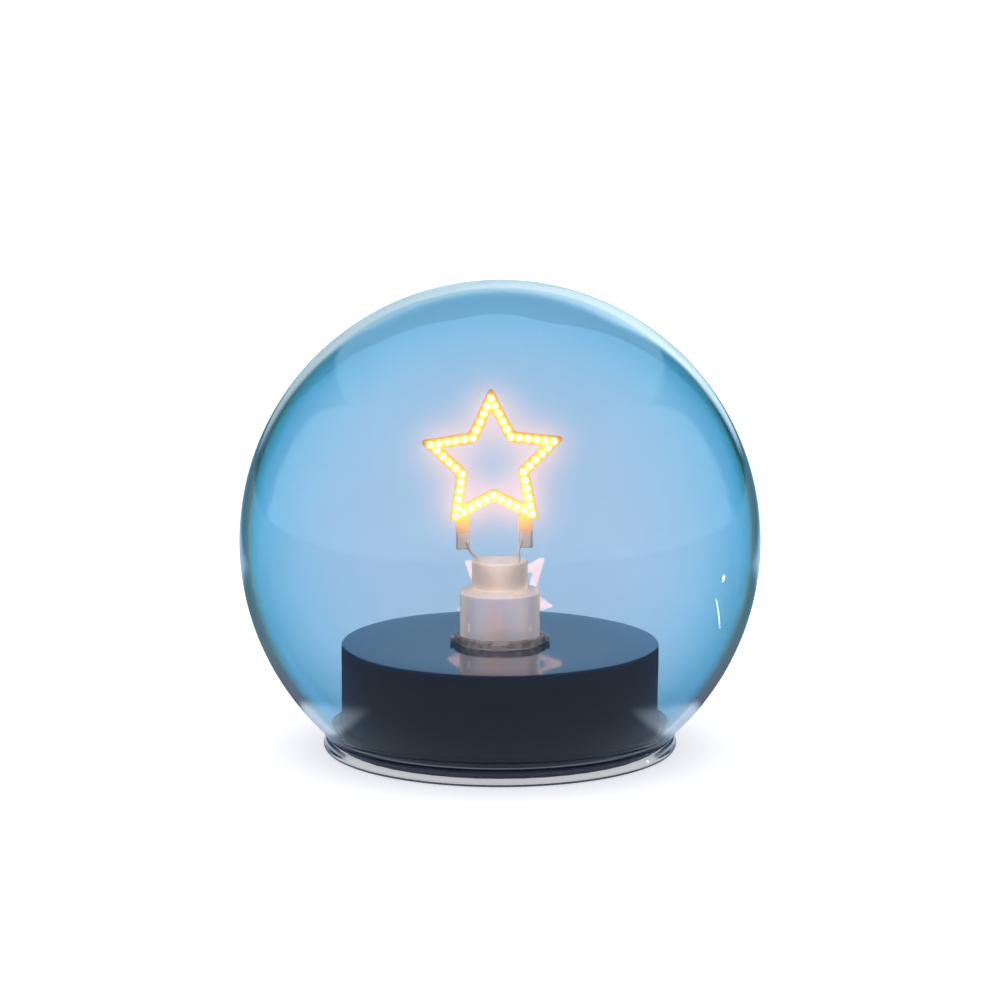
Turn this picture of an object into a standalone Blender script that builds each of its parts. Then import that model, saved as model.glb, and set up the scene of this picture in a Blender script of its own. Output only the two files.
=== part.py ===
"""Battery table lamp: a blue glass globe over a star of LEDs, closed from below by a round battery base.

Frame: +Z up, the lamp's front faces -Y, the origin is on the globe's axis at the foot of the glass lip.
"""

import math

import bmesh
import bpy
from mathutils import Matrix, Vector

MM = 0.001
GAP = 0.3 * MM  # air between pieces that touch or rest on each other

# Glass globe, with its neck down
GLOBE_R = 60.0 * MM
GLOBE_Z = 48.44 * MM
GLASS_WALL = 1.8 * MM
NECK_Z = 4.0 * MM
LIP_R = 41.1 * MM
LIP_BORE_R = 39.2 * MM
WAIST_R = 37.9 * MM  # the neck's narrowest bore
WAIST_Z = 4.3 * MM
FLARE_Z = 2.2 * MM
GLOBE_SEGMENTS = 48
GLOBE_ARCS = 13

# Round battery base
BASE_R = 36.9 * MM
BASE_TOP = 24.6 * MM
BASE_WALL = 1.8 * MM
BASE_ROOF = 2.0 * MM
BASE_EDGE = 0.6 * MM
CABLE_HOLE_R = 4.5 * MM
PLATE_R = 38.6 * MM
PLATE_Z = 1.4 * MM
PLATE_TOP = 3.2 * MM
BASE_SEGMENTS = 48

# Battery compartment: three AA cells lie side by side along Y
CELL_R = 7.25 * MM
CELL_LENGTH = 50.5 * MM
NUB_R = 2.75 * MM
NUB_LENGTH = 1.0 * MM
CELL_PITCH = 15.0 * MM
CELL_Z = 10.75 * MM
CONTACT_Y = 26.8 * MM
CONTACT_THICK = 0.3 * MM
CONTACT_REACH = 5.0 * MM  # to each side of a cell's axis
CONTACT_FOOT_Z = 5.0 * MM
CONTACT_TOP_Z = 16.0 * MM
SPRING_TURNS = 2.2
SPRING_WIRE_R = 0.3 * MM
SPRING_R = (4.2 * MM, 1.8 * MM)  # at the cell and at the contact plate
TRAY_ROOF_Z = 18.3 * MM
TRAY_ROOF = 1.0 * MM
TRAY_SIDE_X = 23.4 * MM
TRAY_END_Y = 28.2 * MM
TRAY_R = 34.7 * MM
TRAY_WALL = 0.8 * MM
TRAY_END_X = 20.2 * MM
TRAY_SIDE_Y = 25.4 * MM
TRAY_RIB_Z = 14.4 * MM
TRAY_POST = Vector((18.0, 17.0, 0)) * MM
WIRE_HOLE_Y = 26.4 * MM
WIRE_HOLE_R = 0.95 * MM

# Battery door, hinged along its rear edge
DOOR_HALF_X = 23.0 * MM
DOOR_FRONT_Y = -27.0 * MM
DOOR_REAR_Y = 25.9 * MM
DOOR_CORNER_R = 34.3 * MM
DOOR_THICK = 1.6 * MM
DOOR_PLAY_REAR = 0.4 * MM
HINGE_Y = 27.9 * MM
HINGE_Z = 2.3 * MM
HINGE_R = 0.8 * MM
HINGE_PIN_R = 0.4 * MM
HINGE_X = 12.0 * MM
HINGE_LENGTH = 8.0 * MM
HINGE_PIN = 0.8 * MM
LATCH_HALF_X = 3.5 * MM
LATCH_REACH = 1.6 * MM
GRIP_GROOVES = 4
GRIP_PITCH = 2.2 * MM
FINGER_RECESS_Y = -28.6 * MM
FINGER_RECESS_R = 4.6 * MM

# Slide switch
SWITCH_X = 29.0 * MM
SWITCH_TRAVEL = 4.0 * MM
SWITCH_SIZE = Vector((5.2, 9.6, 4.0)) * MM
KNOB_SIZE = Vector((2.2, 2.6, 0)) * MM
KNOB_FOOT_Z = 0.6 * MM

# Screws that hold the plate to the housing
SCREW_PLACES = [Vector((27.5, 15.0, 0)) * MM, Vector((27.5, -15.0, 0)) * MM, Vector((-29.0, 0, 0)) * MM]
SCREW_HEAD_R = 2.0 * MM
SCREW_R = 0.9 * MM
SCREW_TIP_Z = 10.0 * MM
SCREW_SLOT = Vector((1.1, 0.25, 0.35)) * MM  # half length, half width, depth
BOSS_R = 2.6 * MM

# Circuit board in the base
BOARD_SIZE = Vector((22.0, 14.0, 1.0)) * MM
BOARD_PLACE = Vector((0, 12.5, 20.1)) * MM
WIRE_R = 0.5 * MM
WIRE_OVER_BOARD_Z = 21.6 * MM

# Frosted holder on top of the base
SLEEVE_R = 9.25 * MM
SLEEVE_TOP = 36.9 * MM
SLEEVE_WALL = 1.2 * MM
CAP_R = 6.55 * MM
CAP_TOP = 43.7 * MM
CAP_BORE_R = 5.5 * MM
SPIGOT_R = 3.7 * MM
SPIGOT_LENGTH = 2.6 * MM
CAP_FLOOR_R = 2.6 * MM
SNAP_WINDOW = Vector((4.0, 0.9, 1.8)) * MM
SNAP_WINDOW_Z = 29.0 * MM
COLLAR_R = 10.7 * MM
COLLAR_EAR_R = 11.5 * MM
COLLAR_HEIGHT = 1.6 * MM
COLLAR_EAR = Vector((0, 4.2, 1.1)) * MM

# Star-shaped board; it leans a little to the left above the cap
STAR_LEAN = math.radians(-1.5)
STAR_SHIFT = -1.1 * MM
STAR_Z = 66.5 * MM
STAR_TIP_R = 14.9 * MM
STAR_DIP_R = 7.37 * MM
STAR_HALF_WIDTH = 1.25 * MM
STAR_THICK = 1.0 * MM
STAR_TIP_ROUND = 0.67 * MM
STAR_DIP_ROUND = (1.2 * MM, 1.6 * MM)  # of the outer and of the inner outline
STAR_FOOT_TRIM = 1.2 * MM  # the two lower tips are cut off flat this far below their LEDs
LED_STEPS = 5
LED_R = 0.75 * MM
LED_HEIGHT = 0.6 * MM
LED_SINK = 0.05 * MM
TRACK_HALF_WIDTH = 0.45 * MM
TRACK_THICK = 0.25 * MM
LEG_X = 7.25 * MM
LEG_WIDTH = 3.2 * MM
LEG_FOOT = -20.1 * MM  # below the star's centre
LEG_HEAD = -12.2 * MM
PAD_HEIGHT = 3.8 * MM
PAD_THICK = 0.25 * MM
LEAD_R = 0.3 * MM
LEAD_FOOT_X = 4.7 * MM  # to each side of the cap's axis


# ---------------------------------------------------------------- materials

def material(name, colour, roughness, metallic=0.0, transmission=0.0, glow=0.0):
    """A Principled material; glow is the strength of its own light in its own colour."""
    mat = bpy.data.materials.new(name)
    mat.use_nodes = True
    shader = mat.node_tree.nodes["Principled BSDF"]
    shader.inputs["Base Color"].default_value = (*colour, 1.0)
    shader.inputs["Roughness"].default_value = roughness
    shader.inputs["Metallic"].default_value = metallic
    shader.inputs["Transmission Weight"].default_value = transmission
    shader.inputs["Emission Color"].default_value = (*colour, 1.0)
    shader.inputs["Emission Strength"].default_value = glow
    mat.diffuse_color = (*colour, 1.0)
    return mat


# ---------------------------------------------------------------- shapes

def finish(name, bm, mat, parent=None):
    """Turns a bmesh into a named object with smooth round faces and crisp edges."""
    bmesh.ops.recalc_face_normals(bm, faces=bm.faces[:])
    mesh = bpy.data.meshes.new(name)
    bm.to_mesh(mesh)
    bm.free()
    mesh.shade_smooth()
    mesh.set_sharp_from_angle(angle=math.radians(35))
    obj = bpy.data.objects.new(name, mesh)
    obj.data.materials.append(mat)
    obj.parent = parent
    bpy.context.collection.objects.link(obj)
    return obj


def add_turned(bm, profile, segments, closed=True):
    """Turns (radius, height) points about Z; an open profile starts and ends on the axis."""
    start = len(bm.verts)
    ring = [bm.verts.new((r, 0, z)) for r, z in profile]
    edges = [bm.edges.new(pair) for pair in zip(ring, ring[1:])]
    if closed:
        edges.append(bm.edges.new((ring[-1], ring[0])))
    bmesh.ops.spin(bm, geom=ring + edges, axis=(0, 0, 1), cent=(0, 0, 0), steps=segments,
                   angle=math.tau, use_duplicate=False)
    bm.verts.ensure_lookup_table()
    bmesh.ops.remove_doubles(bm, verts=bm.verts[start:], dist=1e-6)


def add_prism(bm, outline, low, high):
    """Extrudes a closed outline of (x, y) points from height low to height high."""
    verts = [bm.verts.new((x, y, low)) for x, y in outline]
    face = bm.faces.new(verts)
    grown = bmesh.ops.extrude_face_region(bm, geom=[face])["geom"]
    top = [v for v in grown if isinstance(v, bmesh.types.BMVert)]
    bmesh.ops.translate(bm, vec=(0, 0, high - low), verts=top)


def add_box(bm, low, high):
    """A box between two corners."""
    centre = (Vector(low) + Vector(high)) / 2
    size = Vector(high) - Vector(low)
    bmesh.ops.create_cube(bm, size=1.0, matrix=Matrix.Translation(centre) @ Matrix.Diagonal((*size, 1)))


def add_rod(bm, start, end, radius, segments=16):
    """A round rod between two points."""
    start, end = Vector(start), Vector(end)
    along = end - start
    turn = along.to_track_quat("Z", "Y").to_matrix().to_4x4()
    bmesh.ops.create_cone(bm, cap_ends=True, segments=segments, radius1=radius, radius2=radius,
                          depth=along.length, matrix=Matrix.Translation((start + end) / 2) @ turn)


def turned(name, profile, mat, segments=32, closed=True, parent=None):
    bm = bmesh.new()
    add_turned(bm, profile, segments, closed)
    return finish(name, bm, mat, parent)


def box(name, low, high, mat, parent=None):
    bm = bmesh.new()
    add_box(bm, low, high)
    return finish(name, bm, mat, parent)


def combine(target, tool, operation):
    """Adds a Boolean of a helper object, which itself stays out of the finished lamp."""
    modifier = target.modifiers.new(tool.name, "BOOLEAN")
    modifier.operation = operation
    modifier.solver = "EXACT"
    modifier.object = tool
    tool.hide_render = True
    tool.display_type = "WIRE"


def wire(name, points, radius, mat, parent=None):
    """A round wire on a smooth curve through a few hand-placed points."""
    curve = bpy.data.curves.new(name, "CURVE")
    curve.dimensions = "3D"
    curve.bevel_depth = radius
    curve.bevel_resolution = 1
    curve.use_fill_caps = True
    route = smooth_route([Vector(p) for p in points], 5)
    spline = curve.splines.new("POLY")
    spline.points.add(len(route) - 1)
    for point, place in zip(spline.points, route):
        point.co = (*place, 1.0)
    curve.materials.append(mat)
    obj = bpy.data.objects.new(name, curve)
    obj.parent = parent
    bpy.context.collection.objects.link(obj)
    return obj


def smooth_route(points, steps):
    """Catmull-Rom points through the given ones."""
    ends = [points[0] * 2 - points[1], *points, points[-1] * 2 - points[-2]]
    route = []
    for a, b, c, d in zip(ends, ends[1:], ends[2:], ends[3:]):
        for step in range(steps):
            t = step / steps
            route.append(0.5 * (2 * b + (c - a) * t + (2 * a - 5 * b + 4 * c - d) * t ** 2
                                + (3 * b - a - 3 * c + d) * t ** 3))
    return route + [points[-1]]


def clipped_rectangle(half_x, front_y, rear_y, radius):
    """A rectangle whose corners are cut off where they would pass a circle about the axis."""
    side = math.sqrt(radius ** 2 - half_x ** 2)
    front = math.sqrt(radius ** 2 - front_y ** 2)
    rear = math.sqrt(radius ** 2 - rear_y ** 2)
    right = [(front, front_y), (half_x, -side), (half_x, min(side, rear_y)), (rear, rear_y)]
    if side >= rear_y:
        right = right[:2] + [(half_x, rear_y)]
    return right + [(-x, y) for x, y in reversed(right)]


# ---------------------------------------------------------------- glass globe

def sphere_points(radius, first_z, steps):
    """(radius, height) points on the globe's sphere from height first_z up to just before its top."""
    start = math.asin((first_z - GLOBE_Z) / radius)
    angles = [start + (math.pi / 2 - start) * i / steps for i in range(steps)]
    return [(radius * math.cos(a), GLOBE_Z + radius * math.sin(a)) for a in angles]


def neck_bore(z):
    """Inner radius of the flared neck at height z, below the waist."""
    t = min(max((z - FLARE_Z) / (WAIST_Z - FLARE_Z), 0), 1)
    return LIP_BORE_R + (WAIST_R - LIP_BORE_R) * (1 - math.cos(math.pi * t)) / 2


def make_globe(glass):
    outer = sphere_points(GLOBE_R, NECK_Z, GLOBE_ARCS)
    equator = min(range(len(outer)), key=lambda i: abs(outer[i][1] - GLOBE_Z))
    outer[equator] = (GLOBE_R, GLOBE_Z)
    inner = sphere_points(GLOBE_R - GLASS_WALL, WAIST_Z + GAP, GLOBE_ARCS)
    lip = [(39.6 * MM, 0), (40.7 * MM, 0), (LIP_R, 0.6 * MM), (LIP_R, 1.8 * MM), (40.7 * MM, 2.9 * MM)]
    bore = [(LIP_BORE_R, 0.4 * MM)]
    bore += [(neck_bore(z), z) for z in (FLARE_Z, FLARE_Z + 0.7 * MM, WAIST_Z - 0.7 * MM, WAIST_Z)]
    top = [(0, GLOBE_Z + GLOBE_R)]
    under_top = [(0, GLOBE_Z + GLOBE_R - GLASS_WALL)]
    profile = top + outer[::-1] + lip[::-1] + bore + inner + under_top
    return turned("glass_globe", profile, glass, GLOBE_SEGMENTS, closed=False)


def make_gasket(rubber):
    inner_r = BASE_R + GAP
    foot = PLATE_TOP + GAP
    profile = [(inner_r, foot), (neck_bore(foot) - GAP, foot),
               (37.55 * MM, 4.3 * MM), (38.3 * MM, 5.2 * MM), (38.1 * MM, 5.9 * MM), (inner_r, 6.2 * MM)]
    return turned("neck_gasket", profile, rubber, BASE_SEGMENTS)


# ---------------------------------------------------------------- battery base

def make_housing(plastic):
    foot = PLATE_TOP + GAP
    inner = BASE_R - BASE_WALL
    roof = BASE_TOP - BASE_ROOF
    profile = [(inner, foot), (BASE_R, foot), (BASE_R, BASE_TOP - BASE_EDGE),
               (BASE_R - 0.2 * MM, BASE_TOP - 0.2 * MM), (BASE_R - BASE_EDGE, BASE_TOP),
               (CABLE_HOLE_R, BASE_TOP), (CABLE_HOLE_R, roof), (inner, roof)]
    housing = turned("base_housing", profile, plastic, BASE_SEGMENTS)

    bosses, bores = bmesh.new(), bmesh.new()
    for place in SCREW_PLACES:
        add_rod(bosses, place + Vector((0, 0, foot)), place + Vector((0, 0, roof + MM)), BOSS_R)
        add_rod(bores, place, place + Vector((0, 0, SCREW_TIP_Z + MM)), SCREW_R + GAP, 12)
    combine(housing, finish("screw_bosses", bosses, plastic), "UNION")
    combine(housing, finish("screw_bores", bores, plastic), "DIFFERENCE")
    return housing


def make_plate(plastic):
    profile = [(0, PLATE_Z), (PLATE_R, PLATE_Z), (PLATE_R, PLATE_TOP - 0.8 * MM),
               (PLATE_R - 0.5 * MM, PLATE_TOP), (0, PLATE_TOP)]
    plate = turned("base_plate", profile, plastic, BASE_SEGMENTS, closed=False)

    cuts = bmesh.new()
    opening = clipped_rectangle(DOOR_HALF_X + GAP, DOOR_FRONT_Y - GAP, DOOR_REAR_Y + DOOR_PLAY_REAR,
                                DOOR_CORNER_R + GAP)
    add_prism(cuts, opening, PLATE_Z - MM, PLATE_TOP + MM)
    combine(plate, finish("door_opening", cuts, plastic), "DIFFERENCE")

    cuts = bmesh.new()
    above = PLATE_TOP + MM
    reach = HINGE_LENGTH / 2 + GAP
    hinge_rear = HINGE_Y + HINGE_R + 0.5 * MM
    for centre in (-HINGE_X, HINGE_X):
        add_box(cuts, (centre - reach, DOOR_REAR_Y - MM, 0), (centre + reach, hinge_rear, above))
    slot_x = KNOB_SIZE.x / 2 + GAP
    knob_reach = KNOB_SIZE.y / 2 + SWITCH_TRAVEL / 2 + GAP
    add_box(cuts, (SWITCH_X - slot_x, -knob_reach, 0), (SWITCH_X + slot_x, knob_reach, above))
    for place in SCREW_PLACES:
        add_rod(cuts, place, place + Vector((0, 0, above)), SCREW_R + 0.4 * MM, 12)
    combine(plate, finish("plate_holes", cuts, plastic), "DIFFERENCE")

    cuts = bmesh.new()
    for place in SCREW_PLACES:
        add_rod(cuts, place, place + Vector((0, 0, PLATE_Z + 1.1 * MM)), SCREW_HEAD_R + GAP)
    reach = HINGE_LENGTH / 2 + HINGE_PIN + 2 * GAP
    groove = HINGE_PIN_R + GAP
    for centre in (-HINGE_X, HINGE_X):
        low = (centre - reach, HINGE_Y - groove, 0)
        add_box(cuts, low, (centre + reach, HINGE_Y + groove, HINGE_Z + groove))
    recess = Vector((0, FINGER_RECESS_Y, 0))
    add_rod(cuts, recess, recess + Vector((0, 0, PLATE_TOP - 0.6 * MM)), FINGER_RECESS_R, 24)
    combine(plate, finish("plate_recesses", cuts, plastic), "DIFFERENCE")
    return plate


def make_door(plastic, hinge):
    """Panel, latch tongue and two hinge knuckles with stub pins, modelled about the hinge axis."""
    bm = bmesh.new()
    outline = clipped_rectangle(DOOR_HALF_X, DOOR_FRONT_Y, DOOR_REAR_Y, DOOR_CORNER_R)
    low = PLATE_Z + 0.1 * MM - HINGE_Z
    add_prism(bm, [(x, y - HINGE_Y) for x, y in outline], low, low + DOOR_THICK)
    door = finish("battery_door", bm, plastic, hinge)

    half = HINGE_LENGTH / 2
    pin = half + HINGE_PIN
    bm = bmesh.new()
    for centre in (-HINGE_X, HINGE_X):
        add_box(bm, (centre - half + GAP, -2.6 * MM, -0.7 * MM), (centre + half - GAP, -0.2 * MM, 0.7 * MM))
    combine(door, finish("hinge_arms", bm, plastic, hinge), "UNION")

    bm = bmesh.new()
    for centre in (-HINGE_X, HINGE_X):
        add_rod(bm, (centre - half, 0, 0), (centre + half, 0, 0), HINGE_R, 16)
        add_rod(bm, (centre - pin, 0, 0), (centre - half + MM, 0, 0), HINGE_PIN_R, 12)
        add_rod(bm, (centre + half - MM, 0, 0), (centre + pin, 0, 0), HINGE_PIN_R, 12)
    combine(door, finish("hinge_knuckles", bm, plastic, hinge), "UNION")

    bm = bmesh.new()
    front = DOOR_FRONT_Y - HINGE_Y
    add_box(bm, (-LATCH_HALF_X, front - LATCH_REACH, low), (LATCH_HALF_X, front + MM, low + 0.7 * MM))
    combine(door, finish("latch_tongue", bm, plastic, hinge), "UNION")

    bm = bmesh.new()
    for row in range(GRIP_GROOVES):
        y = front + 5 * MM + row * GRIP_PITCH
        add_box(bm, (-9 * MM, y, low - MM), (9 * MM, y + 1.0 * MM, low + 0.4 * MM))
    combine(door, finish("grip_grooves", bm, plastic, hinge), "DIFFERENCE")
    return door


def make_tray(plastic):
    bm = bmesh.new()
    top = TRAY_ROOF_Z + TRAY_ROOF
    add_prism(bm, clipped_rectangle(TRAY_SIDE_X, -TRAY_END_Y, TRAY_END_Y, TRAY_R), TRAY_ROOF_Z, top)
    tray = finish("battery_tray", bm, plastic)

    foot = PLATE_TOP + GAP
    under_housing = BASE_TOP - BASE_ROOF - GAP
    bm = bmesh.new()
    for side in (-1, 1):
        inner, outer = sorted((side * TRAY_SIDE_X, side * (TRAY_SIDE_X - TRAY_WALL)))
        add_box(bm, (inner, -TRAY_SIDE_Y, foot), (outer, TRAY_SIDE_Y, top - GAP))
        inner, outer = sorted((side * TRAY_END_Y, side * (TRAY_END_Y - TRAY_WALL)))
        add_box(bm, (-TRAY_END_X, inner, foot), (TRAY_END_X, outer, top - GAP))
        rib_x = side * CELL_PITCH / 2
        add_box(bm, (rib_x - 0.5 * MM, -20 * MM, TRAY_RIB_Z), (rib_x + 0.5 * MM, 20 * MM, top - GAP))
        for y in (-TRAY_POST.y, TRAY_POST.y):
            x = side * TRAY_POST.x
            add_rod(bm, (x, y, top - 0.5 * MM), (x, y, under_housing), 2 * MM, 12)
    combine(tray, finish("tray_walls", bm, plastic), "UNION")

    bm = bmesh.new()
    for side in (-1, 1):
        hole = Vector((side * CELL_PITCH, side * WIRE_HOLE_Y, 0))
        add_rod(bm, hole + Vector((0, 0, TRAY_ROOF_Z - MM)), hole + Vector((0, 0, top + MM)), WIRE_HOLE_R, 12)
    combine(tray, finish("tray_wire_holes", bm, plastic), "DIFFERENCE")
    return tray


def make_cell(name, x, nub_side, mat):
    """One AA cell along Y; nub_side is -1 where the positive nub points to the front."""
    body = CELL_LENGTH - NUB_LENGTH
    profile = [(0, 0), (CELL_R - 0.6 * MM, 0), (CELL_R, 0.6 * MM), (CELL_R, body - 0.8 * MM),
               (CELL_R - 0.8 * MM, body), (NUB_R + 0.2 * MM, body), (NUB_R, CELL_LENGTH), (0, CELL_LENGTH)]
    cell = turned(name, profile, mat, 28, closed=False)
    tip = CONTACT_Y - GAP
    cell.location = (x, nub_side * (tip - CELL_LENGTH), CELL_Z)
    cell.rotation_euler = (-nub_side * math.pi / 2, 0, 0)
    return cell


def make_spring(name, x, side, mat):
    """Flattened conical contact spring between a cell's negative end and its contact plate."""
    steps = 14
    near = CONTACT_Y - GAP - SPRING_WIRE_R
    far = CELL_LENGTH - (CONTACT_Y - GAP) + GAP + SPRING_WIRE_R
    curve = bpy.data.curves.new(name, "CURVE")
    curve.dimensions = "3D"
    curve.bevel_depth = SPRING_WIRE_R
    curve.bevel_resolution = 1
    curve.use_fill_caps = True
    count = int(SPRING_TURNS * steps) + 1
    spline = curve.splines.new("POLY")
    spline.points.add(count - 1)
    for i, point in enumerate(spline.points):
        t = i / (count - 1)
        angle = math.tau * SPRING_TURNS * t
        radius = SPRING_R[0] + (SPRING_R[1] - SPRING_R[0]) * t
        y = side * (near + (far - near) * t)
        point.co = (x + radius * math.cos(angle), y, CELL_Z + radius * math.sin(angle), 1.0)
    curve.materials.append(mat)
    obj = bpy.data.objects.new(name, curve)
    bpy.context.collection.objects.link(obj)
    return obj


def make_contact(name, low_x, high_x, side, mat):
    """Contact plate between a row of cell ends and the tray's end wall."""
    near, far = sorted((side * CONTACT_Y, side * (CONTACT_Y + CONTACT_THICK)))
    return box(name, (low_x, near, CONTACT_FOOT_Z), (high_x, far, CONTACT_TOP_Z), mat)


def make_switch(body_mat, knob_mat, slider):
    half = SWITCH_SIZE / 2
    foot = PLATE_TOP + GAP
    knob_top = foot + 1.3 * MM
    low = Vector((SWITCH_X - half.x, -half.y, foot))
    body = box("switch_body", low, low + SWITCH_SIZE, body_mat)
    slot_x = KNOB_SIZE.x / 2 + GAP
    reach = KNOB_SIZE.y / 2 + SWITCH_TRAVEL / 2 + GAP
    low, high = (SWITCH_X - slot_x, -reach, 0), (SWITCH_X + slot_x, reach, knob_top + GAP)
    combine(body, box("switch_slot", low, high, body_mat), "DIFFERENCE")

    bm = bmesh.new()
    half = KNOB_SIZE / 2
    add_box(bm, (-half.x, -half.y, KNOB_FOOT_Z), (half.x, half.y, knob_top))
    lower = [e for e in bm.edges if all(v.co.z < MM for v in e.verts)]
    bmesh.ops.bevel(bm, geom=lower, offset=0.3 * MM, segments=2, profile=0.5, affect="EDGES")
    knob = finish("switch_knob", bm, knob_mat, slider)
    return body, knob


def make_screw(number, place, mat):
    head_z, seat_z = PLATE_Z + 0.1 * MM, PLATE_Z + 0.8 * MM
    profile = [(0, head_z), (SCREW_HEAD_R - 0.2 * MM, head_z), (SCREW_HEAD_R, head_z + 0.2 * MM),
               (SCREW_HEAD_R, seat_z), (SCREW_R, seat_z), (SCREW_R, SCREW_TIP_Z - MM), (0, SCREW_TIP_Z)]
    screw = turned(f"base_screw_{number}", profile, mat, 16, closed=False)
    screw.location = place
    arm, half, depth = SCREW_SLOT
    for way, x, y in (("x", arm, half), ("y", half, arm)):
        slot = box(f"screw_slot_{number}_{way}", (-x, -y, head_z - MM), (x, y, head_z + depth), mat, screw)
        combine(screw, slot, "DIFFERENCE")
    return screw


def make_electronics(board_mat, chip_mat, ceramic, resistor_mat):
    half = BOARD_SIZE / 2
    box("driver_board", BOARD_PLACE - half, BOARD_PLACE + half, board_mat)
    top = BOARD_PLACE.z + half.z + GAP
    parts = [("timer_chip", (4.0, 12.0), (5.0, 4.0, 1.2), chip_mat),
             ("chip_capacitor", (-4.0, 15.5), (3.2, 1.6, 1.0), ceramic),
             ("chip_resistor", (-4.0, 11.5), (2.0, 1.2, 0.6), resistor_mat)]
    for name, (x, y), (dx, dy, dz), mat in parts:
        centre = Vector((x * MM, y * MM, top + dz * MM / 2))
        size = Vector((dx, dy, dz)) * MM / 2
        box(name, centre - size, centre + size, mat)


def make_wires(red, black, grey):
    over_board = WIRE_OVER_BOARD_Z
    start_z = CONTACT_TOP_Z + 3 * GAP
    wire("battery_wire_red", [(-15 * MM, -26.35 * MM, start_z), (-15 * MM, -26.35 * MM, 19 * MM),
                              (-14.6 * MM, -24.5 * MM, 21 * MM), (-13 * MM, -14 * MM, 20.5 * MM),
                              (-10 * MM, 0, 20.6 * MM), (-9 * MM, 8 * MM, over_board)], WIRE_R, red)
    wire("battery_wire_black", [(15 * MM, 26.35 * MM, start_z), (15 * MM, 26.35 * MM, 19 * MM),
                                (14.6 * MM, 24.8 * MM, 21 * MM), (12 * MM, 20 * MM, over_board),
                                (9 * MM, 17 * MM, over_board)], WIRE_R, black)
    wire("switch_wire", [(SWITCH_X, 0, 7.9 * MM), (SWITCH_X - 1.0 * MM, 0.6 * MM, 14 * MM),
                         (SWITCH_X - 3.0 * MM, 2 * MM, 20 * MM), (22 * MM, 4 * MM, 21 * MM),
                         (15 * MM, 7 * MM, over_board), (9.5 * MM, 9 * MM, over_board)], WIRE_R, grey)
    for name, side, mat in (("led_wire_red", -1, red), ("led_wire_black", 1, black)):
        wire(name, [(side * 3.2 * MM, 8 * MM, over_board), (side * 2.6 * MM, 4 * MM, over_board),
                    (side * 1.6 * MM, 0.8 * MM, 23.4 * MM), (side * 1.3 * MM, 0, 28 * MM),
                    (side * 1.3 * MM, 0, 36 * MM), (side * 2.2 * MM, 0, 39.2 * MM),
                    (side * 3.9 * MM, 0, 40.4 * MM)], 0.45 * MM, mat)


# ---------------------------------------------------------------- holder

def make_holder(frosted, collar_mat):
    foot = BASE_TOP + GAP
    bore = SLEEVE_R - SLEEVE_WALL
    roof = SLEEVE_TOP - 1.4 * MM
    profile = [(bore, foot), (SLEEVE_R, foot), (SLEEVE_R, SLEEVE_TOP - MM), (SLEEVE_R - 0.9 * MM, SLEEVE_TOP),
               (SPIGOT_R + GAP, SLEEVE_TOP), (SPIGOT_R + GAP, roof), (bore, roof)]
    sleeve = turned("lamp_holder", profile, frosted, 40)
    bm = bmesh.new()
    for side in (-1, 1):
        angle = math.radians(-90 + side * 50)
        place = Matrix.Rotation(angle, 4, "Z") @ Matrix.Translation((SLEEVE_R, 0, SNAP_WINDOW_Z))
        bmesh.ops.create_cube(bm, size=1.0, matrix=place @ Matrix.Diagonal((*SNAP_WINDOW, 1)))
    combine(sleeve, finish("snap_windows", bm, frosted), "DIFFERENCE")

    seat = SLEEVE_TOP + GAP
    profile = [(CAP_FLOOR_R, seat - SPIGOT_LENGTH), (SPIGOT_R, seat - SPIGOT_LENGTH), (SPIGOT_R, seat),
               (CAP_R, seat), (CAP_R, CAP_TOP - 0.3 * MM), (CAP_R - 0.3 * MM, CAP_TOP), (CAP_BORE_R, CAP_TOP),
               (CAP_BORE_R, seat + MM), (CAP_FLOOR_R, seat + MM)]
    turned("bulb_cap", profile, frosted, 32)

    profile = [(SLEEVE_R + GAP, foot), (COLLAR_R, foot), (COLLAR_R, foot + COLLAR_HEIGHT - 0.4 * MM),
               (COLLAR_R - 0.4 * MM, foot + COLLAR_HEIGHT), (SLEEVE_R + GAP, foot + COLLAR_HEIGHT)]
    collar = turned("holder_collar", profile, collar_mat, 40)
    bm = bmesh.new()
    reach = COLLAR_EAR_R - COLLAR_R + 0.5 * MM
    ear = Matrix.Translation((COLLAR_EAR_R - reach / 2, 0, foot + 0.6 * MM))
    ear @= Matrix.Diagonal((reach, COLLAR_EAR.y, COLLAR_EAR.z, 1))
    for quarter in range(4):
        bmesh.ops.create_cube(bm, size=1.0, matrix=Matrix.Rotation(quarter * math.pi / 2, 4, "Z") @ ear)
    combine(collar, finish("collar_ears", bm, collar_mat), "UNION")


# ---------------------------------------------------------------- star

def star_corners():
    """The ten corners of the line that the LEDs sit on, from the top tip, clockwise, as (x, z)."""
    corners = []
    for i in range(10):
        angle = math.pi / 2 - i * math.pi / 5
        radius = STAR_DIP_R if i % 2 else STAR_TIP_R
        corners.append(Vector((radius * math.cos(angle), radius * math.sin(angle))))
    return corners


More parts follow.
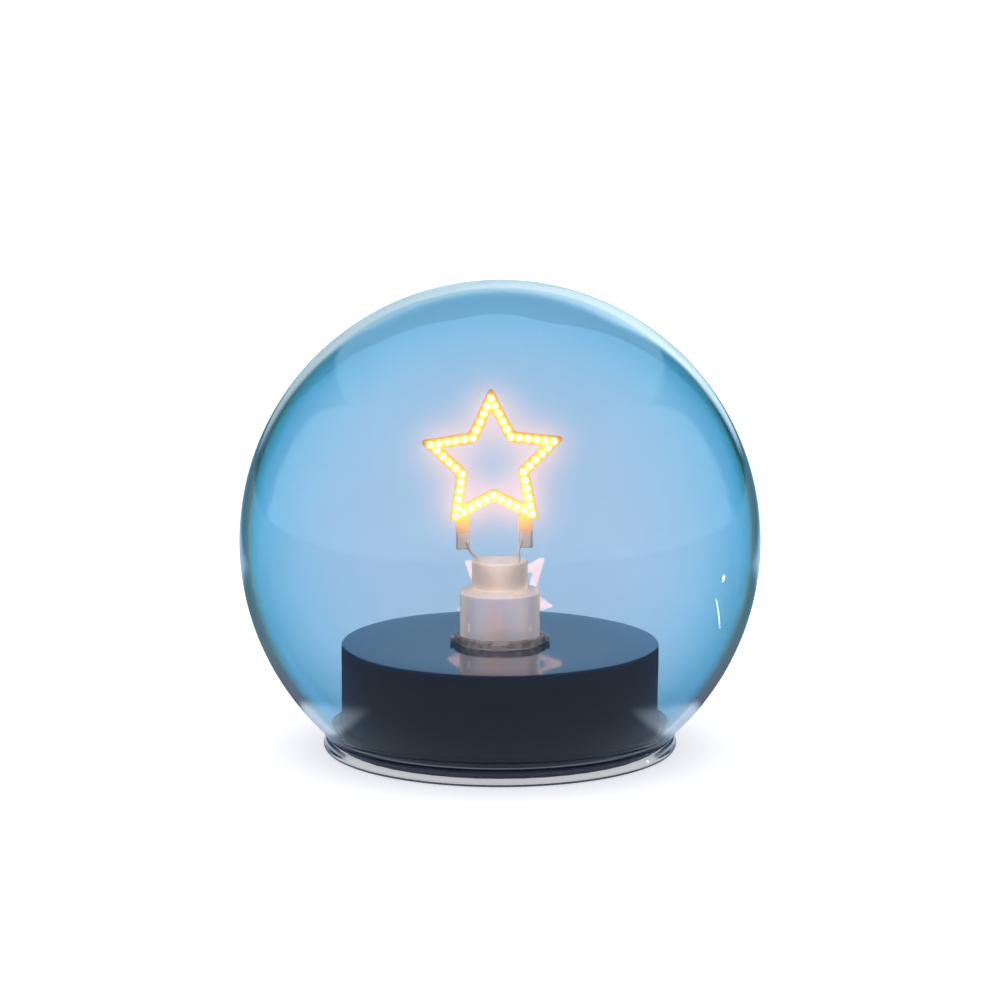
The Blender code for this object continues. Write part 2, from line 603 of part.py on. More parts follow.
def offset_outline(corners, distance, tip_round, dip_round, steps=3):
    """Moves a closed clockwise outline outwards by distance, and rounds its tips and its inward dips."""
    outline = []
    for i, corner in enumerate(corners):
        before = (corner - corners[i - 1]).normalized()
        after = (corners[(i + 1) % len(corners)] - corner).normalized()
        normal = (Vector((-before.y, before.x)) + Vector((-after.y, after.x))).normalized()
        half = math.acos(max(-1, min(1, before.dot(after)))) / 2
        moved = corner + normal * distance / math.cos(half)
        is_dip = before.x * after.y - before.y * after.x > 0
        side, radius = (1, dip_round) if is_dip else (-1, tip_round)
        if radius <= 0:
            outline.append(moved)
            continue
        centre = moved + normal * side * radius / math.cos(half)
        first = moved - before * radius * math.tan(half) - centre
        turns = [side * 2 * half * step / steps for step in range(steps + 1)]
        outline += [centre + Matrix.Rotation(turn, 2) @ first for turn in turns]
    return outline


def add_strip(bm, outer, inner, front, back):
    """A flat strip between two outlines in the XZ plane, from y = front to y = back."""
    edges = []
    for outline in (outer, inner):
        loop = [bm.verts.new((p.x, front, p.y)) for p in outline]
        edges += [bm.edges.new(pair) for pair in zip(loop, loop[1:] + loop[:1])]
    filled = bmesh.ops.triangle_fill(bm, edges=edges, use_beauty=True)["geom"]
    faces = [f for f in filled if isinstance(f, bmesh.types.BMFace)]
    grown = bmesh.ops.extrude_face_region(bm, geom=faces)["geom"]
    rear = [v for v in grown if isinstance(v, bmesh.types.BMVert)]
    bmesh.ops.translate(bm, vec=(0, back - front, 0), verts=rear)


def led_places():
    corners = star_corners()
    places = []
    for start, end in zip(corners, corners[1:] + corners[:1]):
        places += [start.lerp(end, step / LED_STEPS) for step in range(LED_STEPS)]
    return places


def make_star(board_mat, led_mat, solder, bare_wire, stand):
    corners = star_corners()
    half = STAR_THICK / 2
    bm = bmesh.new()
    outer = offset_outline(corners, STAR_HALF_WIDTH, STAR_TIP_ROUND, STAR_DIP_ROUND[0])
    inner = offset_outline(corners, -STAR_HALF_WIDTH, STAR_TIP_ROUND / 2, STAR_DIP_ROUND[1])
    add_strip(bm, outer, inner, -half, half)
    board = finish("star_board", bm, board_mat, stand)
    trim_z = min(corner.y for corner in corners) - STAR_FOOT_TRIM
    trim = box("foot_trim", (-STAR_TIP_R, -MM, trim_z - 5 * MM), (STAR_TIP_R, MM, trim_z), board_mat, stand)
    combine(board, trim, "DIFFERENCE")
    bm = bmesh.new()
    for side in (-1, 1):
        low_x, high_x = sorted((side * (LEG_X - LEG_WIDTH / 2), side * (LEG_X + LEG_WIDTH / 2)))
        add_box(bm, (low_x, -half, LEG_FOOT), (high_x, half, LEG_HEAD))
    combine(board, finish("star_legs", bm, board_mat, stand), "UNION")

    bm = bmesh.new()
    front = -half - GAP
    outer = offset_outline(corners, TRACK_HALF_WIDTH, 0, 0)
    inner = offset_outline(corners, -TRACK_HALF_WIDTH, 0, 0)
    add_strip(bm, outer, inner, front - TRACK_THICK, front)
    track = finish("led_track", bm, led_mat, stand)
    bm = bmesh.new()
    for place in led_places():
        add_rod(bm, (place.x, front - LED_SINK, place.y), (place.x, front - LED_HEIGHT, place.y), LED_R, 8)
    combine(track, finish("led_chips", bm, led_mat, stand), "UNION")

    for name, side in (("left", -1), ("right", 1)):
        low_x, high_x = sorted((side * (LEG_X - LEG_WIDTH / 2 + GAP), side * (LEG_X + LEG_WIDTH / 2 - GAP)))
        low, high = (low_x, front - PAD_THICK, LEG_FOOT + GAP), (high_x, front, LEG_FOOT + PAD_HEIGHT)
        box(f"solder_pad_{name}", low, high, solder, stand)
        foot_z = CAP_TOP - STAR_Z
        foot_x = side * LEAD_FOOT_X - STAR_SHIFT
        head_x = side * (LEG_X - 1.3 * MM)
        route = [(foot_x, 0, foot_z - 2.6 * MM), (foot_x, 0, foot_z + 0.2 * MM),
                 ((foot_x + head_x) / 2, 0, foot_z + 1.4 * MM), (head_x, 0, LEG_FOOT - GAP)]
        wire(f"lead_wire_{name}", route, LEAD_R, bare_wire, stand)


# ---------------------------------------------------------------- assembly

def empty(name, place):
    obj = bpy.data.objects.new(name, None)
    obj.location = place
    bpy.context.collection.objects.link(obj)
    return obj


def main():
    for obj in list(bpy.data.objects):
        bpy.data.objects.remove(obj, do_unlink=True)

    glass = material("blue_glass", (0.30, 0.52, 0.78), 0.02, transmission=0.9)
    black = material("black_plastic", (0.02, 0.025, 0.035), 0.3)
    rubber = material("black_sealant", (0.01, 0.01, 0.012), 0.35)
    frosted = material("frosted_plastic", (0.80, 0.72, 0.68), 0.45, transmission=0.3)
    amber = material("clear_collar", (0.45, 0.36, 0.30), 0.25, transmission=0.5)
    board = material("yellow_board", (0.88, 0.52, 0.06), 0.5)
    led = material("lit_led", (1.0, 0.85, 0.45), 0.4, glow=4.0)
    solder = material("solder", (0.65, 0.66, 0.68), 0.35, metallic=1.0)
    steel = material("plated_steel", (0.75, 0.75, 0.73), 0.25, metallic=1.0)
    cell = material("cell_can", (0.10, 0.11, 0.12), 0.35, metallic=0.6)
    green = material("green_board", (0.03, 0.16, 0.07), 0.4)
    chip = material("chip_black", (0.02, 0.02, 0.02), 0.5)
    ceramic = material("ceramic_tan", (0.50, 0.36, 0.22), 0.5)
    red_wire = material("red_wire", (0.55, 0.03, 0.02), 0.45)
    black_wire = material("black_wire", (0.02, 0.02, 0.02), 0.45)
    grey_wire = material("grey_wire", (0.30, 0.30, 0.31), 0.45)
    white = material("white_plastic", (0.75, 0.76, 0.76), 0.4)

    make_globe(glass)
    make_gasket(rubber)
    make_housing(black)
    make_plate(black)
    make_door(black, empty("door_hinge", (0, HINGE_Y, HINGE_Z)))
    make_tray(black)

    for name, x, nub_side in (("left", -CELL_PITCH, -1), ("middle", 0, 1), ("right", CELL_PITCH, -1)):
        make_cell(f"cell_{name}", x, nub_side, cell)
        make_spring(f"contact_spring_{name}", x, -nub_side, steel)
    outer, inner = CELL_PITCH + CONTACT_REACH, CELL_PITCH - CONTACT_REACH
    make_contact("contact_positive", -outer, -inner, -1, steel)
    make_contact("contact_bridge_front", -CONTACT_REACH, outer, -1, steel)
    make_contact("contact_bridge_rear", -outer, CONTACT_REACH, 1, steel)
    make_contact("contact_negative", inner, outer, 1, steel)

    make_switch(chip, white, empty("switch_slider", (SWITCH_X, -SWITCH_TRAVEL / 2, 0)))
    for number, place in enumerate(SCREW_PLACES, 1):
        make_screw(number, place, steel)
    make_electronics(green, chip, ceramic, chip)
    make_wires(red_wire, black_wire, grey_wire)

    make_holder(frosted, amber)
    stand = empty("star_stand", (STAR_SHIFT, 0, CAP_TOP))
    stand.rotation_euler = (0, STAR_LEAN, 0)
    star = empty("star_centre", (0, 0, STAR_Z - CAP_TOP))
    star.parent = stand
    make_star(board, led, solder, steel, star)


main()
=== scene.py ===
import math
import random

import bmesh
import bpy
from mathutils import Matrix, Vector


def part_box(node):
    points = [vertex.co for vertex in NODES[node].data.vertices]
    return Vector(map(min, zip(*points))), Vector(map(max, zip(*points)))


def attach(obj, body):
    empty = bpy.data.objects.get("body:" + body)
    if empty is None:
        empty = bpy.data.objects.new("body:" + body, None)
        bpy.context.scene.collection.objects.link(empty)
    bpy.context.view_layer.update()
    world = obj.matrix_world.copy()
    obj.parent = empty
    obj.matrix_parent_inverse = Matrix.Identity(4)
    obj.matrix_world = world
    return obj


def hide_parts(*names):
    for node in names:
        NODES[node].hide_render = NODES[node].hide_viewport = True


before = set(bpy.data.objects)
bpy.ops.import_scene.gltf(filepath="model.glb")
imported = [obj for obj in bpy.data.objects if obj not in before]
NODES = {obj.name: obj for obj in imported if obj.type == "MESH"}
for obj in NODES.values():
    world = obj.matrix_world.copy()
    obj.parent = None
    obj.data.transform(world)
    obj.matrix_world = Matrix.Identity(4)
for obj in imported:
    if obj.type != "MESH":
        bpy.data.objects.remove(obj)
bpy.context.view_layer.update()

MM = 0.001
HALF_TURN = math.pi
QUARTER_TURN = math.pi / 2
GLASS_IOR = 1.5
BLACK = (0.0, 0.0, 0.0)


# ------------------------------------------------------------------ modelling by hand

def add(primitive, name, **settings):
    """Adds a primitive with nothing else selected, and names it."""
    bpy.ops.object.select_all(action="DESELECT")
    primitive(**settings)
    piece = bpy.context.object
    piece.name = name
    piece.data.name = name
    return piece


def choose(*pieces):
    """Selects these pieces alone, with the first one active."""
    bpy.ops.object.select_all(action="DESELECT")
    for piece in pieces:
        piece.select_set(True)
    bpy.context.view_layer.objects.active = pieces[0]


def edit(piece):
    choose(piece)
    bpy.ops.object.mode_set(mode="EDIT")


def edit_all(piece):
    """Edits a piece with everything in it selected."""
    edit(piece)
    bpy.ops.mesh.select_all(action="SELECT")


def done():
    bpy.ops.object.mode_set(mode="OBJECT")


def pick(piece, test, kind="VERT"):
    """Selects the vertices, edges or faces that pass a test."""
    bpy.ops.mesh.select_mode(type=kind)
    bpy.ops.mesh.select_all(action="DESELECT")
    mesh = bmesh.from_edit_mesh(piece.data)
    items = {"VERT": mesh.verts, "EDGE": mesh.edges, "FACE": mesh.faces}[kind]
    for item in items:
        if test(item):
            item.select_set(True)
    mesh.select_flush_mode()
    bmesh.update_edit_mesh(piece.data)


def modify(piece, kind, **settings):
    """Adds a modifier and applies it."""
    modifier = piece.modifiers.new(kind.title(), kind)
    for key, value in settings.items():
        setattr(modifier, key, value)
    choose(piece)
    bpy.ops.object.modifier_apply(modifier=modifier.name)


def settle(piece, smooth_angle=35):
    """Puts a finished piece's place into its mesh, and shades it smooth between crisp edges."""
    choose(piece)
    bpy.ops.object.transform_apply(location=True, rotation=True, scale=True)
    bpy.ops.object.shade_smooth_by_angle(angle=math.radians(smooth_angle))


def joined(pieces, name):
    choose(*pieces)
    bpy.ops.object.join()
    pieces[0].name = name
    return pieces[0]


def as_mesh(curve, name):
    """Puts a curve in the scene and makes it a mesh."""
    piece = bpy.data.objects.new(name, curve)
    bpy.context.scene.collection.objects.link(piece)
    choose(piece)
    bpy.ops.object.convert(target="MESH")
    return piece


def fuse(piece, part, operation):
    """Unites a piece with a part, or cuts the part out of it, and drops the part."""
    modify(piece, "BOOLEAN", operation=operation, object=part, solver="EXACT")
    bpy.data.objects.remove(part)


def extrude_along(profile):
    """Extrudes the selected ring through (radius, height) points."""
    for (r0, z0), (r1, z1) in zip(profile, profile[1:]):
        bpy.ops.mesh.extrude_region_move(TRANSFORM_OT_translate={"value": (0, 0, z1 - z0)})
        bpy.ops.transform.resize(value=(r1 / r0, r1 / r0, 1), center_override=(0, 0, z1))


def bridge_open_rims(piece):
    pick(piece, lambda edge: edge.is_boundary, "EDGE")
    bpy.ops.mesh.bridge_edge_loops()


def turned(name, profile, segments):
    """A closed round piece: a ring led through (radius, height) points and back to its start."""
    first_r, first_z = profile[0]
    piece = add(bpy.ops.mesh.primitive_circle_add, name, vertices=segments, radius=first_r,
                location=(0, 0, first_z))
    bpy.ops.object.transform_apply(location=True)
    edit_all(piece)
    extrude_along(profile)
    bridge_open_rims(piece)
    bpy.ops.mesh.select_all(action="SELECT")
    bpy.ops.mesh.normals_make_consistent(inside=False)
    done()
    return piece


def arc(centre_r, centre_z, radius, start, end, steps):
    """Profile points round an arc, angles in degrees from outwards, anticlockwise."""
    angles = [math.radians(start + (end - start) * i / steps) for i in range(steps + 1)]
    return [(centre_r + radius * math.cos(a), centre_z + radius * math.sin(a)) for a in angles]


# ------------------------------------------------------------------ shader maths

class Wire:
    """A socket in a node tree; arithmetic on it adds Math nodes."""

    def __init__(self, nodes, socket):
        self.nodes, self.socket = nodes, socket

    def math(self, operation, first, second=0.0):
        return self.nodes.node("ShaderNodeMath", {"operation": operation}, {0: first, 1: second})

    def __add__(self, other):
        return self.math("ADD", self, other)

    __radd__ = __add__

    def __sub__(self, other):
        return self.math("SUBTRACT", self, other)

    def __rsub__(self, other):
        return self.math("SUBTRACT", other, self)

    def __mul__(self, other):
        return self.math("MULTIPLY", self, other)

    __rmul__ = __mul__

    def __truediv__(self, other):
        return self.math("DIVIDE", self, other)

    def __pow__(self, other):
        return self.math("POWER", self, other)

    def __rpow__(self, other):
        return self.math("POWER", other, self)

    def __abs__(self):
        return self.math("ABSOLUTE", self)

    def clamp(self):
        return self.nodes.node("ShaderNodeClamp", {}, {0: self, 1: 0.0, 2: 1.0})

    def most(self, other):
        return self.math("MAXIMUM", self, other)

    def over(self, limit):
        """1 where it is over the limit, 0 elsewhere."""
        return self.math("GREATER_THAN", self, limit)

    def step(self, edge, softness):
        """0 below the edge and 1 above it, rising smoothly over a width of softness."""
        inputs = {0: self, 1: edge - softness / 2, 2: edge + softness / 2, 3: 0.0, 4: 1.0}
        return self.nodes.node("ShaderNodeMapRange", {"interpolation_type": "SMOOTHSTEP"}, inputs)


class Nodes:
    """A node tree, with short ways to add the nodes that the finishes use."""

    def __init__(self, tree):
        self.tree = tree

    def node(self, kind, settings=None, inputs=None, output=0):
        """Any other node, from its type, its settings and the values or links of its sockets."""
        made = self.tree.nodes.new(kind)
        for key, value in (settings or {}).items():
            setattr(made, key, value)
        for key, value in (inputs or {}).items():
            self.link(made.inputs[key], value)
        return None if output is None else Wire(self, made.outputs[output])

    def link(self, socket, value):
        if isinstance(value, Wire):
            self.tree.links.new(value.socket, socket)
        else:
            if socket.type == "RGBA" and len(value) == 3:
                value = (*value, 1.0)
            socket.default_value = value

    def mix(self, factor, first, second):
        """A colour between two colours."""
        return self.node("ShaderNodeMix", {"data_type": "RGBA"}, {0: factor, 6: first, 7: second}, output=2)

    def split(self, vector):
        """The x, y and z of a vector."""
        split = self.tree.nodes.new("ShaderNodeSeparateXYZ")
        self.link(split.inputs[0], vector)
        return [Wire(self, output) for output in split.outputs]


class Paint(Nodes):
    """One procedural material: a Principled shader and the nodes that feed it."""

    def __init__(self, name, **sockets):
        self.material = bpy.data.materials.new(name)
        self.material.use_nodes = True
        super().__init__(self.material.node_tree)
        self.shader = self.tree.nodes["Principled BSDF"]
        for key, value in sockets.items():
            self.feed(key.replace("_", " ").title().replace("Ior", "IOR"), value)
        self.place = self.node("ShaderNodeTexCoord", output="Object")

    def feed(self, key, value):
        self.link(self.shader.inputs[key], value)

    def glow(self, colour, strength=1.0):
        self.feed("Emission Color", colour)
        self.feed("Emission Strength", strength)

    def facing(self):
        """0 where the surface is seen square on, 1 where it is seen edge on."""
        return self.node("ShaderNodeLayerWeight", {}, {"Blend": 0.5}, output="Facing")

    def noise(self, size, detail, stretch=(1, 1, 1)):
        """Soft noise whose features are about size across, from 0 to 1."""
        place = self.node("ShaderNodeMapping", {}, {"Vector": self.place, "Scale": stretch})
        return self.node("ShaderNodeTexNoise", {}, {"Vector": place, "Scale": 1 / size, "Detail": detail})

    def tint(self, colour, depths):
        """Each channel of a colour raised to its own power, as a deeper layer of dye shows it."""
        powers = [channel ** depth for channel, depth in zip(colour, depths)]
        return self.node("ShaderNodeCombineColor", {}, dict(enumerate(powers)))

    def bump(self, height, distance, strength=1.0):
        relief = {"Height": height, "Distance": distance, "Strength": strength}
        self.feed("Normal", self.node("ShaderNodeBump", {}, relief))

    def axes(self):
        """The x, y and z of the point being shaded, in metres."""
        return self.split(self.place)


def dress(piece, *paints):
    piece.data.materials.clear()
    for paint in paints:
        piece.data.materials.append(paint.material)


def place_piece(piece, body, slot, *nodes):
    """Lets a finished piece ride on its body and stand for its CAD nodes."""
    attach(piece, body)
    if nodes:
        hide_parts(*nodes)


# ------------------------------------------------------------------ sizes from the frame

globe_low, globe_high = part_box("glass_globe")
GLOBE_R = (globe_high.x - globe_low.x) / 2
GLOBE_Z = globe_high.z - GLOBE_R
WALL = 1.8 * MM
NECK_Z = 4.0 * MM

base_low, base_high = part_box("base_housing")
BASE_R = (base_high.x - base_low.x) / 2
BASE_TOP = base_high.z

sleeve_low, sleeve_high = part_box("lamp_holder")
SLEEVE_R = (sleeve_high.x - sleeve_low.x) / 2
cap_low, cap_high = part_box("bulb_cap")
CAP_R = (cap_high.x - cap_low.x) / 2
collar_low, collar_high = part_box("holder_collar")

pad_left = sum(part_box("solder_pad_left"), Vector()) / 2
pad_right = sum(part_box("solder_pad_right"), Vector()) / 2
STAR_RIGHT = (pad_right - pad_left).normalized()
STAR_UP = STAR_RIGHT.cross(Vector((0, 1, 0))).normalized()
PADS_TO_CENTRE = 18.05 * MM
STAR_CENTRE = (pad_left + pad_right) / 2 + STAR_UP * PADS_TO_CENTRE
STAR_CENTRE.y = 0
LEG_X = (pad_right - pad_left).length / 2


# ------------------------------------------------------------------ finishes

def clear_glass():
    """Blown glass, a little wavy, with seeds; edge on, its wall carries the blue of the lacquer behind it,
    and a painted blue glow.
    """
    paint = Paint("clear_glass", roughness=0.0, ior=GLASS_IOR, transmission_weight=1.0)
    from_waist = abs(paint.axes()[2] - 1.1 * GLOBE_Z) / GLOBE_Z
    edge_on = paint.facing().step(0.78, 0.08) * (1 - from_waist.step(0.55, 0.5) * 0.8)
    paint.feed("Base Color", paint.mix(edge_on, (0.985, 0.995, 1.0), (0.02, 0.25, 0.97)))
    # Painted blue glow on the wall where it is seen edge on, fading towards the top and bottom of the globe.
    paint.glow(paint.mix(edge_on, BLACK, (0.0, 0.003, 0.055)))

    waves = paint.noise(26 * MM, 1.0)
    seed_cells = paint.node("ShaderNodeTexVoronoi", {}, {"Vector": paint.place, "Scale": 150.0})
    seeds = (1 - seed_cells * 14).clamp() ** 2
    few = ((paint.noise(7 * MM, 0.0) - 0.55).clamp() * 8).clamp()
    paint.bump(waves * 0.5 + seeds * few * 0.18, 0.5 * MM, 0.6)
    return paint


def lacquered_glass():
    """The inside of the globe: a thin blue lacquer that ends ragged just above the lip."""
    paint = Paint("blue_lacquer", roughness=0.0, ior=GLASS_IOR, transmission_weight=1.0)
    facing = paint.facing()
    cloud = 0.9 + paint.noise(30 * MM, 2.0) * 0.2
    depths = [cloud + facing * facing * deeper for deeper in (2.6, -0.38, -2.1)]
    blue = paint.tint((0.30, 0.45, 0.61), depths)
    ragged = (paint.noise(3 * MM, 3.0) - 0.5) * 2.0 * MM
    lacquered = (paint.axes()[2] - 5.0 * MM + ragged) / (0.8 * MM)
    paint.feed("Base Color", paint.mix(lacquered.clamp(), (0.93, 0.97, 1.0), blue))
    return paint


def sealant():
    """Black sealing compound with a lumpy skin."""
    paint = Paint("black_sealant", base_color=(0.006, 0.006, 0.008), roughness=0.22)
    paint.bump(paint.noise(1.6 * MM, 3.0), 0.3 * MM)
    return paint


def base_plastic():
    """Black moulded plastic: a polished top, faintly smeared, with a painted blue reflection on it, and a
    satin side.
    """
    paint = Paint("black_base")
    top = ((paint.axes()[2] - (BASE_TOP - 0.5 * MM)) / (0.3 * MM)).clamp()
    grain = paint.noise(0.5 * MM, 3.0)
    smears = paint.noise(14 * MM, 3.0)
    satin, polished = 0.34 + grain * 0.1, 0.04 + smears * 0.05
    paint.feed("Roughness", paint.node("ShaderNodeMix", {}, {0: top, 2: satin, 3: polished}))
    paint.feed("Coat Weight", top * 0.75)
    side = paint.mix(smears, (0.026, 0.021, 0.036), (0.038, 0.032, 0.054))
    # The top's blue is a painted reflection; the plastic itself is black.
    paint.feed("Base Color", paint.mix(top, side, (0.007, 0.044, 0.115)))
    paint.bump(grain, 0.012 * MM)
    return paint


def plastic(name, light, dark, roughness, grain_size=0.4 * MM):
    """Fine-textured moulded plastic between two close shades."""
    paint = Paint(name)
    grain = paint.noise(grain_size, 3.0)
    paint.feed("Base Color", paint.mix(paint.noise(12 * MM, 3.0), dark, light))
    paint.feed("Roughness", roughness - 0.06 + grain * 0.12)
    paint.bump(grain, 0.02 * MM)
    return paint


def frosted_plastic(name, warm, cool, rim_height):
    """Milky translucent plastic, with a painted warm glow for the lamp's light in its walls, strongest at its
    rim and edge on.
    """
    paint = Paint(name, subsurface_weight=0.5, subsurface_radius=(3 * MM, 2.6 * MM, 2.2 * MM),
                  subsurface_scale=1.0, transmission_weight=0.66, ior=1.3,
                  coat_weight=0.6, coat_roughness=0.06)
    cloud = paint.noise(6 * MM, 3.0, stretch=(1, 1, 0.45)).step(0.5, 0.35)
    paint.feed("Base Color", paint.mix(cloud, cool, warm))
    paint.feed("Roughness", 0.46 + paint.noise(0.7 * MM, 2.0) * 0.12)
    paint.bump(paint.noise(0.6 * MM, 2.0), 0.01 * MM)
    # Painted warm glow: a faint even part, more where the wall is seen edge on, and a band at the rim height.
    rim = 1 - (abs(paint.axes()[2] - rim_height) / (0.5 * MM)).clamp()
    painted_glow = (0.08 + paint.facing().step(0.55, 0.5) * 0.32 + rim * 0.5).clamp()
    paint.glow(paint.mix(painted_glow, BLACK, (1.0, 0.64, 0.40)))
    return paint


def smoky_plastic():
    """Half-clear plastic with darker clouds."""
    paint = Paint("smoky_collar", ior=1.49, transmission_weight=0.55)
    cloud = paint.noise(3 * MM, 2.0).step(0.5, 0.3)
    paint.feed("Base Color", paint.mix(cloud, (0.56, 0.40, 0.32), (0.98, 0.86, 0.77)))
    paint.feed("Roughness", 0.08 + paint.noise(1 * MM, 2.0) * 0.12)
    return paint


def board_paint():
    """Yellow solder mask lit through by the chips, fading down the legs."""
    paint = Paint("yellow_board", roughness=0.5)
    lit = paint.axes()[2].step(STAR_CENTRE.z - 15.0 * MM, 4.5 * MM)
    weave = paint.noise(0.5 * MM, 2.0)
    paint.feed("Base Color", paint.mix(lit, (0.42, 0.33, 0.28), (0.85, 0.50, 0.12)))
    paint.glow(paint.mix(lit, (0.14, 0.09, 0.08), (0.80, 0.42, 0.09)), 0.3)
    paint.bump(weave, 0.02 * MM)
    return paint


def lit_board_back():
    """The back of the star, where the chips' light comes through the whole width of the board."""
    paint = Paint("lit_board_back", base_color=(0.95, 0.85, 0.65), roughness=0.5)
    paint.glow(paint.mix(paint.noise(1.8 * MM, 2.0), (1.0, 0.27, 0.10), (1.0, 0.36, 0.16)), 22.0)
    return paint


def led_light():
    """Lit phosphor: far brighter in red than in blue, so its glow is warmer than its middle."""
    paint = Paint("lit_phosphor", base_color=(1.0, 0.80, 0.45), roughness=0.4)
    paint.glow(paint.mix(paint.noise(0.5 * MM, 1.0), (1.0, 0.42, 0.075), (1.0, 0.52, 0.11)), 9.0)
    return paint


def led_package():
    """The moulded cup round each chip, lit through by it."""
    paint = Paint("amber_package", base_color=(0.95, 0.62, 0.20), roughness=0.45)
    paint.glow(paint.mix(paint.noise(0.4 * MM, 1.0), (1.0, 0.50, 0.12), (1.0, 0.58, 0.17)), 0.42)
    return paint


def metal(name, colour, roughness, scratch=(1, 1, 1), shine=1.0):
    """Bare metal with fine marks, stretched where it was drawn or rolled."""
    paint = Paint(name, metallic=shine)
    marks = paint.noise(0.6 * MM, 3.0, stretch=scratch)
    dark = tuple(channel * 0.8 for channel in colour)
    paint.feed("Base Color", paint.mix(marks, dark, colour))
    paint.feed("Roughness", roughness - 0.08 + marks * 0.16)
    paint.bump(marks, 0.01 * MM)
    return paint


def insulation(name, colour):
    """The soft skin of a hook-up wire."""
    paint = Paint(name)
    cloud = paint.noise(2 * MM, 2.0)
    paint.feed("Base Color", paint.mix(cloud, tuple(channel * 0.75 for channel in colour), colour))
    paint.feed("Roughness", 0.38 + cloud * 0.12)
    return paint


def cell_sleeve():
    """Printed cell sleeve: a dark body and a plain coloured band, with bright metal ends."""
    paint = Paint("cell_sleeve")
    along = paint.axes()[1]
    band, ends = along.over(8 * MM), abs(along).over(23.6 * MM)
    speck = paint.noise(1 * MM, 2.0)
    sleeve = paint.mix(band, (0.02, 0.022, 0.025), (0.42, 0.20, 0.05))
    paint.feed("Base Color", paint.mix(ends, sleeve, (0.62, 0.62, 0.60)))
    paint.feed("Metallic", ends)
    paint.feed("Roughness", 0.22 + speck * 0.12)
    return paint


# ------------------------------------------------------------------ glass globe

def neck_bore(z):
    """Inner radius of the flared neck below its waist."""
    flare_r, waist_r, waist_z, flare_z = 39.2 * MM, 37.9 * MM, 4.3 * MM, 2.2 * MM
    t = min(max((z - flare_z) / (waist_z - flare_z), 0), 1)
    return flare_r + (waist_r - flare_r) * (1 - math.cos(HALF_TURN * t)) / 2


def half_ball(name, radius, centre, cut_z, segments, rings):
    """A ball open below a height, with the open rim exactly on that height."""
    ball = add(bpy.ops.mesh.primitive_uv_sphere_add, name, segments=segments, ring_count=rings,
               radius=radius, location=centre)
    bpy.ops.object.transform_apply(location=True)
    edit_all(ball)
    bpy.ops.mesh.bisect(plane_co=(0, 0, cut_z), plane_no=(0, 0, 1), clear_inner=True)
    done()
    return ball


def make_globe():
    """Two open balls, one inside the other, joined through the turned lip."""
    segments, rings = 160, 96
    centre = Vector((0, 0, GLOBE_Z))
    inside_cut_z = 4.6 * MM
    outer = half_ball("globe", GLOBE_R, centre, NECK_Z, segments, rings)
    inner = half_ball("globe_inside", GLOBE_R - WALL, centre, inside_cut_z, segments, rings)
    edit_all(inner)
    bpy.ops.mesh.flip_normals()
    done()
    inner.data.materials.clear()

    edit(outer)
    neck_r = math.sqrt(GLOBE_R ** 2 - (GLOBE_Z - NECK_Z) ** 2)
    lip = [(neck_r, NECK_Z), (40.28 * MM, 3.6 * MM), (40.45 * MM, 3.1 * MM), (40.85 * MM, 2.5 * MM)]
    lip += arc(40.0 * MM, 1.15 * MM, 1.1 * MM, 35, -85, 7)
    lip += [(39.7 * MM, 0.0)] + arc(39.7 * MM, 0.5 * MM, 0.5 * MM, -90, -180, 4)
    lip += [(neck_bore(z * MM), z * MM) for z in (1.2, 2.0, 2.4, 2.8, 3.2, 3.6, 4.0, 4.3)]
    pick(outer, lambda edge: edge.is_boundary, "EDGE")
    extrude_along(lip)
    done()
    globe = joined([outer, inner], "globe")
    edit(globe)
    bridge_open_rims(globe)
    done()
    settle(globe, 60)
    dress(globe, clear_glass(), lacquered_glass())
    lacquer_foot = 3.2 * MM
    for face in globe.data.polygons:
        inside = (face.center - centre).length < GLOBE_R - WALL / 2
        face.material_index = 1 if inside and face.center.z > lacquer_foot else 0
    place_piece(globe, "lamp", "glass", "glass_globe")


def make_gasket():
    """A squeezed bead of black sealant, uneven along its upper edge."""
    gap = 0.3 * MM
    inner_r, foot = BASE_R + gap, 3.5 * MM
    profile = [(inner_r, foot), (neck_bore(foot) - gap, foot), (37.6 * MM, 4.3 * MM)]
    profile += arc(37.75 * MM, 5.25 * MM, 0.55 * MM, -10, 120, 6) + [(inner_r, 6.1 * MM)]
    bead = turned("sealing_bead", profile, 192)
    rng = random.Random(5)
    edit(bead)
    pick(bead, lambda v: v.co.z > 4.8 * MM)
    bpy.ops.transform.vertex_random(offset=0.16 * MM, seed=rng.randrange(99))
    done()
    settle(bead, 60)
    dress(bead, sealant())
    place_piece(bead, "lamp", "sealant", "neck_gasket")


# ------------------------------------------------------------------ battery base

def make_base():
    """The round cup, open below, with the cable hole in its roof."""
    foot = base_low.z
    wall, roof, hole_r = 1.8 * MM, 2.0 * MM, 4.5 * MM
    inner_r, edge, chamfer = BASE_R - wall, 0.6 * MM, 0.2 * MM
    profile = [(inner_r, foot), (BASE_R - chamfer, foot), (BASE_R, foot + chamfer)]
    profile += arc(BASE_R - edge, BASE_TOP - edge, edge, 0, 90, 8)
    profile += [(r * MM, BASE_TOP) for r in (30, 20, 12)] + [(hole_r, BASE_TOP), (hole_r, BASE_TOP - roof)]
    profile += [(inner_r, BASE_TOP - roof)]
    shell = turned("base_shell", profile, 192)
    settle(shell, 40)
    dress(shell, base_plastic())
    place_piece(shell, "lamp", "base", "base_housing")


# ------------------------------------------------------------------ frosted holder

